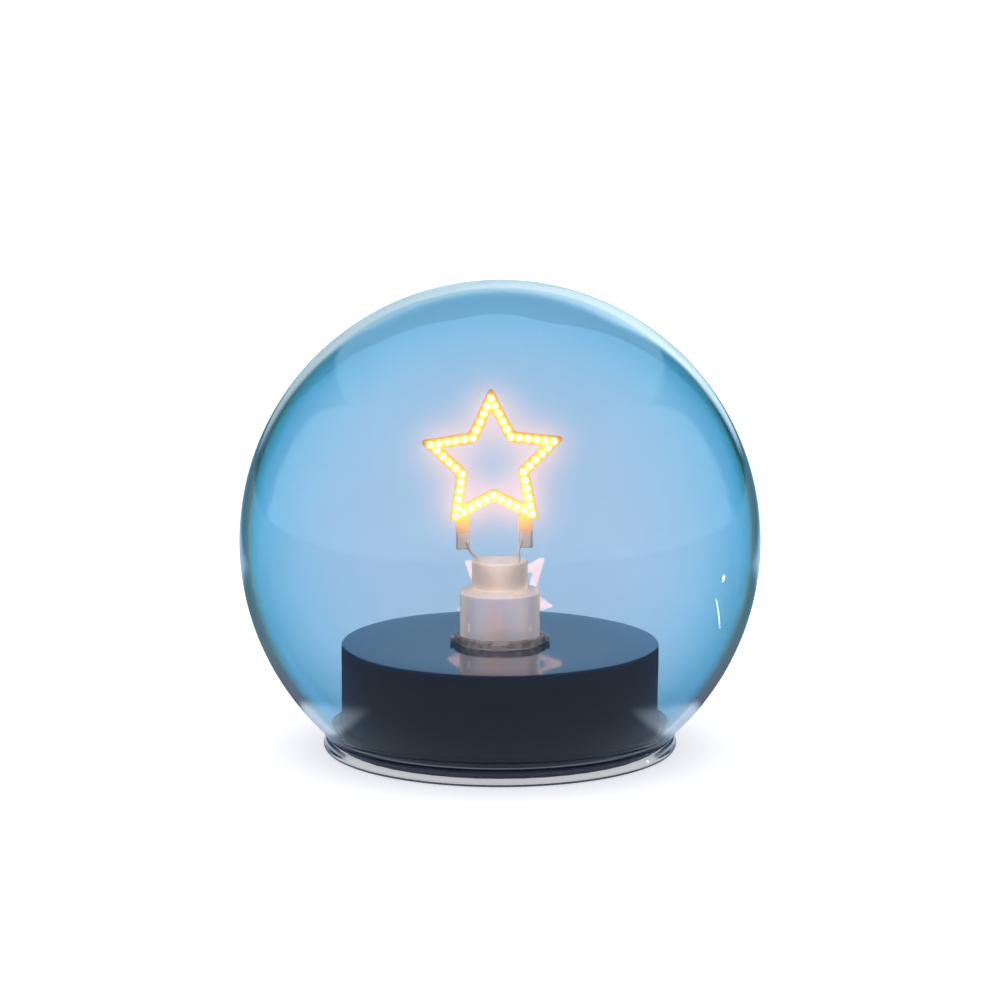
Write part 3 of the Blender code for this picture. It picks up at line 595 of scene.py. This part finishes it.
def make_holder():
    """The wide sleeve with its two snap windows, and the narrow cap that stands in it."""
    foot, top = sleeve_low.z, sleeve_high.z
    bore, hole_r = SLEEVE_R - 1.2 * MM, 4.0 * MM
    chamfer, shoulder, roof = 0.15 * MM, 0.9 * MM, 1.4 * MM
    profile = [(bore, foot), (SLEEVE_R - chamfer, foot), (SLEEVE_R, foot + chamfer)]
    profile += arc(SLEEVE_R - shoulder, top - shoulder, shoulder, 0, 90, 8)
    profile += [(hole_r, top), (hole_r, top - roof), (bore, top - roof)]
    sleeve = turned("holder_sleeve", profile, 96)
    cutters = []
    window_z, from_front = 29.0 * MM, 50
    for side in (-1, 1):
        angle = math.radians(-90 + side * from_front)
        centre = Vector((math.cos(angle), math.sin(angle), 0)) * SLEEVE_R + Vector((0, 0, window_z))
        window = add(bpy.ops.mesh.primitive_cube_add, "window_cut", size=1, location=centre,
                     rotation=(0, 0, angle), scale=(4 * MM, 0.9 * MM, 1.8 * MM))
        cutters.append(window)
    cutter = joined(cutters, "window_cut")
    settle(cutter)
    fuse(sleeve, cutter, "DIFFERENCE")
    settle(sleeve, 40)
    dress(sleeve, frosted_plastic("frosted_sleeve", (0.95, 0.87, 0.83), (0.68, 0.77, 0.96), top - 0.5 * MM))
    place_piece(sleeve, "lamp", "frosted", "lamp_holder")

    seat = cap_low.z + 2.6 * MM
    floor_top = seat + 1.0 * MM
    floor_r, spigot_r, bore_r = 2.6 * MM, 3.7 * MM, 5.5 * MM
    inner_edge, outer_edge = 0.2 * MM, 0.35 * MM
    profile = [(floor_r, cap_low.z), (spigot_r, cap_low.z), (spigot_r, seat)]
    profile += arc(CAP_R - inner_edge, seat + inner_edge, inner_edge, -90, 0, 3)
    profile += arc(CAP_R - outer_edge, cap_high.z - outer_edge, outer_edge, 0, 90, 4)
    profile += arc(bore_r + inner_edge, cap_high.z - inner_edge, inner_edge, 90, 180, 3)
    profile += [(bore_r, floor_top), (floor_r, floor_top)]
    cap = turned("holder_cap", profile, 96)
    settle(cap, 40)
    dress(cap, frosted_plastic("frosted_cap", (0.97, 0.88, 0.81), (0.88, 0.85, 0.86), seat))
    place_piece(cap, "lamp", "frosted", "bulb_cap")


def make_collar():
    """The retaining ring with four ears."""
    foot, top = collar_low.z, collar_high.z
    inner_r, outer_r, edge = SLEEVE_R + 0.3 * MM, 10.7 * MM, 0.5 * MM
    profile = [(inner_r, foot), (outer_r, foot)] + arc(outer_r - edge, top - edge, edge, 0, 90, 6)
    profile += [(inner_r, top)]
    ring = turned("holder_ring", profile, 96)
    ear_reach = (collar_high.x - collar_low.x) / 2
    for quarter in range(4):
        angle = quarter * QUARTER_TURN
        middle = Vector((math.cos(angle), math.sin(angle), 0)) * (ear_reach - 0.65 * MM)
        middle.z = foot + 0.6 * MM
        ear = add(bpy.ops.mesh.primitive_cube_add, "ear", size=1, location=middle, rotation=(0, 0, angle),
                  scale=(1.3 * MM, 4.2 * MM, 1.1 * MM))
        settle(ear)
        modify(ear, "BEVEL", width=0.25 * MM, segments=3)
        fuse(ring, ear, "UNION")
    settle(ring, 40)
    dress(ring, smoky_plastic())
    place_piece(ring, "lamp", "collar", "holder_collar")


# ------------------------------------------------------------------ star

STAR_TIP_R, STAR_DIP_R, STAR_HALF_WIDTH = 14.9 * MM, 7.37 * MM, 1.25 * MM
BOARD_THICK = 1.0 * MM
LED_STEPS = 5
LEG_WIDTH = 3.2 * MM
LEG_FOOT = -20.1 * MM
LEG_HEAD = -12.2 * MM


def star_corners():
    """The ten corners of the line that the chips stand on, clockwise from the top tip."""
    corners = []
    for i in range(10):
        angle = QUARTER_TURN - i * HALF_TURN / 5
        radius = STAR_DIP_R if i % 2 else STAR_TIP_R
        corners.append(Vector((radius * math.cos(angle), radius * math.sin(angle))))
    return corners


def offset_outline(corners, distance, tip_round, dip_round):
    """Moves a closed clockwise outline outwards by distance, and rounds its tips and its inward dips."""
    outline, steps = [], 6
    for i, corner in enumerate(corners):
        before = (corner - corners[i - 1]).normalized()
        after = (corners[(i + 1) % len(corners)] - corner).normalized()
        normal = (Vector((-before.y, before.x)) + Vector((-after.y, after.x))).normalized()
        half = math.acos(max(-1, min(1, before.dot(after)))) / 2
        moved = corner + normal * distance / math.cos(half)
        is_dip = before.x * after.y - before.y * after.x > 0
        side, radius = (1, dip_round) if is_dip else (-1, tip_round)
        centre = moved + normal * side * radius / math.cos(half)
        first = moved - before * radius * math.tan(half) - centre
        turns = [side * 2 * half * step / steps for step in range(steps + 1)]
        outline += [centre + Matrix.Rotation(turn, 2) @ first for turn in turns]
    return outline


def star_place(x, y, z):
    """A point of the leaning star, given across, deep and up from its centre."""
    return STAR_CENTRE + STAR_RIGHT * x + STAR_UP * z + Vector((0, y, 0))


def star_matrix():
    """From the star's own axes, across, deep and up, to its place."""
    return Matrix.Translation(STAR_CENTRE) @ Matrix((STAR_RIGHT, (0, 1, 0), STAR_UP)).transposed().to_4x4()


def make_board():
    """The open star cut from board, its two lower tips trimmed flat over the legs."""
    corners = star_corners()
    curve = bpy.data.curves.new("star_board_shape", "CURVE")
    curve.dimensions = "2D"
    curve.fill_mode = "BOTH"
    rim = 0.12 * MM
    curve.extrude = BOARD_THICK / 2 - rim
    curve.bevel_depth = rim
    curve.bevel_resolution = 2
    curve.offset = -rim
    tip_round = 0.67 * MM
    outer = offset_outline(corners, STAR_HALF_WIDTH, tip_round, 1.2 * MM)
    inner = offset_outline(corners, -STAR_HALF_WIDTH, tip_round / 2, 1.6 * MM)
    for outline in (outer, inner):
        spline = curve.splines.new("POLY")
        spline.points.add(len(outline) - 1)
        for point, corner in zip(spline.points, outline):
            point.co = (corner.x, corner.y, 0, 1)
        spline.use_cyclic_u = True
    board = as_mesh(curve, "board")
    edit_all(board)
    bpy.ops.mesh.remove_doubles(threshold=1e-6)
    foot_trim = min(corner.y for corner in corners) - 1.2 * MM
    bpy.ops.mesh.bisect(plane_co=(0, foot_trim, 0), plane_no=(0, 1, 0), clear_inner=True, use_fill=True)
    bpy.ops.mesh.select_all(action="SELECT")
    bpy.ops.mesh.normals_make_consistent(inside=False)
    done()
    board.matrix_world = star_matrix() @ Matrix.Rotation(QUARTER_TURN, 4, "X")
    settle(board)
    for side in (-1, 1):
        middle = star_place(side * LEG_X, 0, (LEG_FOOT + LEG_HEAD) / 2)
        leg = add(bpy.ops.mesh.primitive_cube_add, "leg", size=1, location=middle,
                  scale=(LEG_WIDTH, BOARD_THICK * 0.96, LEG_HEAD - LEG_FOOT))
        leg.rotation_euler = star_matrix().to_euler()
        settle(leg)
        modify(leg, "BEVEL", width=0.12 * MM, segments=2)
        fuse(board, leg, "UNION")
    board.name = "star_plate"
    settle(board, 35)
    dress(board, board_paint(), lit_board_back())
    for face in board.data.polygons:
        on_back = face.normal.y > 0.9 and face.center.y > BOARD_THICK * 0.49
        face.material_index = 1 if on_back else 0
    place_piece(board, "lamp", "board", "star_board")


def make_leds():
    """Fifty chips: each a low round package with a domed, lit phosphor window."""
    corners = star_corners()
    radius, height, gap = 0.74 * MM, 0.55 * MM, 0.02 * MM
    chip = add(bpy.ops.mesh.primitive_cylinder_add, "chip", vertices=16, radius=radius, depth=height,
               end_fill_type="NGON")
    edit(chip)
    pick(chip, lambda face: face.normal.z > 0.9, "FACE")
    rim, well, dome, crown = (0.62, 0.02), (0.97, -0.06), (0.80, 0.12), (0.5, 0.05)
    for shrink, rise in (rim, well, dome, crown):
        bpy.ops.mesh.extrude_region_move(TRANSFORM_OT_translate={"value": (0, 0, rise * MM)})
        bpy.ops.transform.resize(value=(shrink, shrink, 1))
    done()
    bpy.ops.object.transform_apply(location=True)
    for face in chip.data.polygons:
        in_window = face.center.xy.length < 0.6 * MM and face.center.z > height / 2 - 0.1 * MM
        face.material_index = 0 if in_window else 1
    turn = star_matrix() @ Matrix.Rotation(QUARTER_TURN, 4, "X")
    above_board = BOARD_THICK / 2 + height / 2 + gap
    chips = []
    for start, end in zip(corners, corners[1:] + corners[:1]):
        for step in range(LED_STEPS):
            spot = start.lerp(end, step / LED_STEPS)
            copy = bpy.data.objects.new("chip_copy", chip.data.copy())
            bpy.context.scene.collection.objects.link(copy)
            copy.matrix_world = turn @ Matrix.Translation((spot.x, spot.y, above_board))
            chips.append(copy)
    bpy.data.objects.remove(chip)
    leds = joined(chips, "led_chips")
    settle(leds, 30)
    dress(leds, led_light(), led_package())
    place_piece(leds, "lamp", "led", "led_track")


def make_pads_and_leads():
    """Round-edged tinned pads on the legs, and the thin wires that run from them down into the cap."""
    pads = metal("tinned_solder", (0.80, 0.78, 0.76), 0.42, shine=0.5)
    bare = metal("bare_lead", (0.86, 0.80, 0.76), 0.34, shine=0.6)
    for side, name in ((-1, "left"), (1, "right")):
        low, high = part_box(f"solder_pad_{name}")
        middle = star_place(side * LEG_X, -BOARD_THICK / 2 - 0.12 * MM, LEG_FOOT + 2.0 * MM)
        pad = add(bpy.ops.mesh.primitive_cube_add, f"pad_{name}", size=1, location=middle,
                  scale=(LEG_WIDTH - 0.5 * MM, 0.3 * MM, high.z - low.z))
        pad.rotation_euler = star_matrix().to_euler()
        settle(pad)
        modify(pad, "BEVEL", width=0.13 * MM, segments=3)
        modify(pad, "SUBSURF", levels=2, render_levels=2, subdivision_type="SIMPLE")
        settle(pad, 60)
        dress(pad, pads)
        place_piece(pad, "lamp", "solder", f"solder_pad_{name}")

        foot = cap_high.z - STAR_CENTRE.z
        foot_x = (Vector((side * 4.7 * MM, 0, cap_high.z)) - STAR_CENTRE).dot(STAR_RIGHT)
        route = [(foot_x, 0, foot - 2.6 * MM),
                 (foot_x, 0, foot + 0.2 * MM),
                 (side * 5.4 * MM, -0.2 * MM, foot + 1.5 * MM),
                 (side * 5.8 * MM, -0.6 * MM, LEG_FOOT - 0.1 * MM),
                 (side * 6.1 * MM, -0.85 * MM, LEG_FOOT + 0.9 * MM),
                 (side * 6.4 * MM, -0.85 * MM, LEG_FOOT + 1.8 * MM)]
        curve = bpy.data.curves.new(f"lead_{name}", "CURVE")
        curve.dimensions = "3D"
        curve.bevel_depth = 0.3 * MM
        curve.bevel_resolution = 3
        curve.use_fill_caps = True
        spline = curve.splines.new("NURBS")
        spline.points.add(len(route) - 1)
        spline.use_endpoint_u = True
        spline.order_u = 4
        for point, place in zip(spline.points, route):
            point.co = (*star_place(*place), 1)
        lead = as_mesh(curve, f"lead_{name}")
        settle(lead, 60)
        dress(lead, bare)
        place_piece(lead, "lamp", "lead", f"lead_wire_{name}")


# ------------------------------------------------------------------ CAD nodes that keep their shape

def paint_nodes():
    """Finishes for the pieces whose modelled shape is shown as it is."""
    underside = plastic("black_underside", (0.030, 0.031, 0.036), (0.020, 0.021, 0.025), 0.46)
    tray = plastic("black_tray", (0.034, 0.034, 0.036), (0.024, 0.024, 0.026), 0.5)
    knob = plastic("white_knob", (0.82, 0.82, 0.80), (0.74, 0.74, 0.72), 0.4)
    package = plastic("chip_package", (0.026, 0.026, 0.027), (0.016, 0.016, 0.017), 0.55, 0.2 * MM)
    ceramic = plastic("tan_ceramic", (0.56, 0.40, 0.24), (0.46, 0.33, 0.20), 0.5, 0.3 * MM)
    mask = plastic("green_mask", (0.035, 0.19, 0.08), (0.022, 0.13, 0.055), 0.32, 0.8 * MM)
    nickel = metal("nickel_contact", (0.78, 0.76, 0.72), 0.28, (1, 1, 6))
    zinc = metal("zinc_screw", (0.66, 0.67, 0.69), 0.34)
    red = insulation("red_insulation", (0.62, 0.035, 0.025))
    black = insulation("black_insulation", (0.026, 0.026, 0.028))
    grey = insulation("grey_insulation", (0.34, 0.34, 0.35))
    cell = cell_sleeve()
    paints = {
        "base_plate": underside, "battery_door": underside, "battery_tray": tray, "switch_knob": knob,
        "switch_body": package, "timer_chip": package, "chip_resistor": package, "chip_capacitor": ceramic,
        "driver_board": mask, "battery_wire_red": red, "led_wire_red": red, "battery_wire_black": black,
        "led_wire_black": black, "switch_wire": grey,
    }
    for side in ("left", "middle", "right"):
        paints[f"cell_{side}"] = cell
        paints[f"contact_spring_{side}"] = nickel
    for name in ("positive", "negative", "bridge_front", "bridge_rear"):
        paints[f"contact_{name}"] = nickel
    for number in (1, 2, 3):
        paints[f"base_screw_{number}"] = zinc
    for name, paint in paints.items():
        dress(NODES[name], paint)


# ------------------------------------------------------------------ studio

WHITE = 1.08
FLOOR_IN_REFLECTIONS = 0.18
NEAR_IN_REFLECTIONS = 0.6  # added to the floor beside the base and behind the globe
PALE_REFLECTION = (0.72, 0.88, 1.0)
CAMERA_PLACE = (0, -0.700, 0.1693)
CAMERA_PITCH = 0.158
CAMERA_LENS = 110.76
HALO_SIZE = 50.0
HALO_COLOUR = (2.3, 0.86, 0.05)
HALO_FLOOR = (2.0, 1.2, 0.2)  # only what is brighter than this spreads into the halo


def reflected(nodes):
    """1 for light paths that a gloss has turned, 0 for those that come straight or through clear glass."""
    return nodes.node("ShaderNodeLightPath", output="Glossy Depth").step(0.5, 0.2)


def make_floor():
    """A wide white table top, dimmer in the lamp's reflections than in plain sight, and clear from below."""
    floor = add(bpy.ops.mesh.primitive_circle_add, "floor", vertices=96, radius=3.0, fill_type="NGON")
    settle(floor)
    paper = Paint("white_paper", roughness=1.0, specular_ior_level=0.0)
    paper.feed("Base Color", paper.mix(paper.noise(0.4, 2.0), (0.86, 0.86, 0.86), (0.88, 0.88, 0.88)))
    paper.glow((1.0, 1.0, 1.0), 0.5)
    x, y, _ = paper.axes()
    beside = (1 - ((x * x + y * y) ** 0.5).step(0.056, 0.006)) * abs(x).step(0.042, 0.004)
    behind = (1 - abs(x).step(0.16, 0.06)) * y.step(0.18, 0.06)
    strength = FLOOR_IN_REFLECTIONS + (beside + behind) * NEAR_IN_REFLECTIONS
    dim = paper.node("ShaderNodeEmission", {}, {"Strength": strength, "Color": PALE_REFLECTION})
    plain = Wire(paper, paper.shader.outputs[0])
    seen = paper.node("ShaderNodeMixShader", {}, {0: reflected(paper), 1: plain, 2: dim})
    below = paper.node("ShaderNodeNewGeometry", output="Backfacing")
    clear = paper.node("ShaderNodeBsdfTransparent")
    whole = paper.node("ShaderNodeMixShader", {}, {0: below, 1: seen, 2: clear})
    paper.link(paper.tree.nodes["Material Output"].inputs["Surface"], whole)
    dress(floor, paper)


def make_room():
    """White light from all round, and, in reflections, a dim room with soft panels and a bright backdrop."""
    world = bpy.data.worlds.new("studio")
    bpy.context.scene.world = world
    world.use_nodes = True
    sky = Nodes(world.node_tree)
    direction = sky.node("ShaderNodeTexCoord", output="Generated")
    x, y, z = sky.split(direction)
    side, above, ahead = abs(x).most(0.001), z.most(0.001), y.most(0.001)

    panel_edge = 1.2 - 0.95 * (y / side).most(0.0)
    side_panel = (1 - (y / side).step(0.68, 0.16)) * (1 - (z / side - panel_edge).step(0.0, 0.08))
    top_panel = (1 - (side / above).step(1.2, 0.10)) * z.step(0.02, 0.04)
    floor = 1 - z.step(-0.05, 0.10)
    backdrop = (1 - (abs(x) / ahead).step(0.42, 0.12)) * (1 - (z / ahead).step(0.62, 0.30))
    backdrop = backdrop * y.step(0.02, 0.04)

    room = 0.04 + side_panel.most(top_panel * 0.8) * 0.45
    room = room.most(floor * FLOOR_IN_REFLECTIONS).most(backdrop * (0.95 + x * 0.8))

    turned_away = reflected(sky)
    scattered = sky.node("ShaderNodeLightPath", output="Diffuse Depth").step(0.5, 0.2)
    plain = scattered * (0.75 + z * 0.35) + (1 - scattered) * WHITE
    background = sky.tree.nodes["Background"]
    sky.link(background.inputs["Color"], sky.mix(turned_away, (1.0, 1.0, 1.0), PALE_REFLECTION))
    sky.link(background.inputs["Strength"], turned_away * room + (1 - turned_away) * plain)


def make_camera():
    """A long lens a little above the lamp, square on to its front."""
    camera = bpy.data.cameras.new("camera")
    camera.sensor_width = 36.0
    camera.lens = CAMERA_LENS
    camera.clip_start = 0.02
    view = bpy.data.objects.new("camera", camera)
    bpy.context.scene.collection.objects.link(view)
    view.location = CAMERA_PLACE
    view.rotation_euler = (QUARTER_TURN - CAMERA_PITCH, 0, 0)
    bpy.context.scene.camera = view


def add_light(name, kind, place, power, in_gloss):
    """A light that is never seen itself; in_gloss lets reflections show it."""
    light = bpy.data.lights.new(name, kind)
    light.energy = power
    lamp = bpy.data.objects.new(name, light)
    bpy.context.scene.collection.objects.link(lamp)
    lamp.location = place
    lamp.visible_camera = False
    lamp.visible_transmission = False
    lamp.visible_glossy = in_gloss
    return lamp


def make_lamp_light():
    """The warm light that the star throws on the holder and the base, and that fills the hollow plastic."""
    before_star = star_place(0, -14 * MM, -15 * MM)
    under_roof = Vector((0, 0, sleeve_high.z - 3.2 * MM))
    in_sleeve = Vector((0, 0, sleeve_high.z - 9 * MM))
    in_cap = Vector((0, 0, cap_low.z + 1.5 * MM))
    lights = [(before_star, 0.018, 3.0, (1.0, 0.66, 0.45)), (under_roof, 0.012, 1.5, (1.0, 0.72, 0.50)),
              (in_sleeve, 0.009, 2.0, (1.0, 0.80, 0.66)), (in_cap, 0.003, 0.8, (1.0, 0.74, 0.54))]
    for number, (place, power, radius, colour) in enumerate(lights):
        lamp = add_light(f"star_light_{number}", "POINT", place, power, in_gloss=False)
        lamp.data.color = colour
        lamp.data.shadow_soft_size = radius * MM


def make_glints():
    """Two small lights low at the right, which the glass shows as a round spot and a long streak."""
    towards_globe = (Vector((-0.133, -0.062, 0.033))).to_track_quat("-Z", "Y").to_euler()
    upwards = (HALF_TURN, 0, 0)
    for name, place, turn, width, depth, power in (
            ("spot", (0.183, 0.029, 0.012), towards_globe, 6.0, 6.0, 0.0016),
            ("streak", (0.128, 0.0075, 0.005), upwards, 52.0, 2.6, 0.0032)):
        lamp = add_light(f"glint_{name}", "AREA", place, power, in_gloss=True)
        lamp.rotation_euler = turn
        lamp.data.shape = "ELLIPSE"
        lamp.data.size, lamp.data.size_y = width * MM, depth * MM


def make_glow():
    """The soft glow that a lens gives to the lit chips: a tight bloom and a wide, even, warm halo."""
    scene = bpy.context.scene
    scene.view_settings.view_transform = "Standard"
    scene.use_nodes = True
    scene.node_tree.nodes.clear()
    lens = Nodes(scene.node_tree)
    image = lens.node("CompositorNodeRLayers")
    bloom_look = {"Image": image, "Threshold": 2.5, "Strength": 0.4, "Tint": (1.0, 0.80, 0.40), "Size": 0.2}
    bloom = lens.node("CompositorNodeGlare", {"glare_type": "BLOOM", "quality": "HIGH"}, bloom_look)
    bright = lens.node("CompositorNodeMixRGB", {"blend_type": "SUBTRACT", "use_clamp": True},
                       {1: image, 2: HALO_FLOOR})
    spread = lens.node("CompositorNodeBlur", {"filter_type": "GAUSS"},
                       {"Image": bright, "Size": (HALO_SIZE, HALO_SIZE)})
    halo = lens.node("CompositorNodeMixRGB", {"blend_type": "MULTIPLY"}, {1: spread, 2: HALO_COLOUR})
    lit = lens.node("CompositorNodeMixRGB", {"blend_type": "ADD"}, {1: bloom, 2: halo})
    lens.node("CompositorNodeComposite", {}, {"Image": lit}, output=None)


make_camera()
make_globe()
make_gasket()
make_base()
make_holder()
make_collar()
make_board()
make_leds()
make_pads_and_leads()
paint_nodes()
make_floor()
make_room()
make_lamp_light()
make_glints()
make_glow()
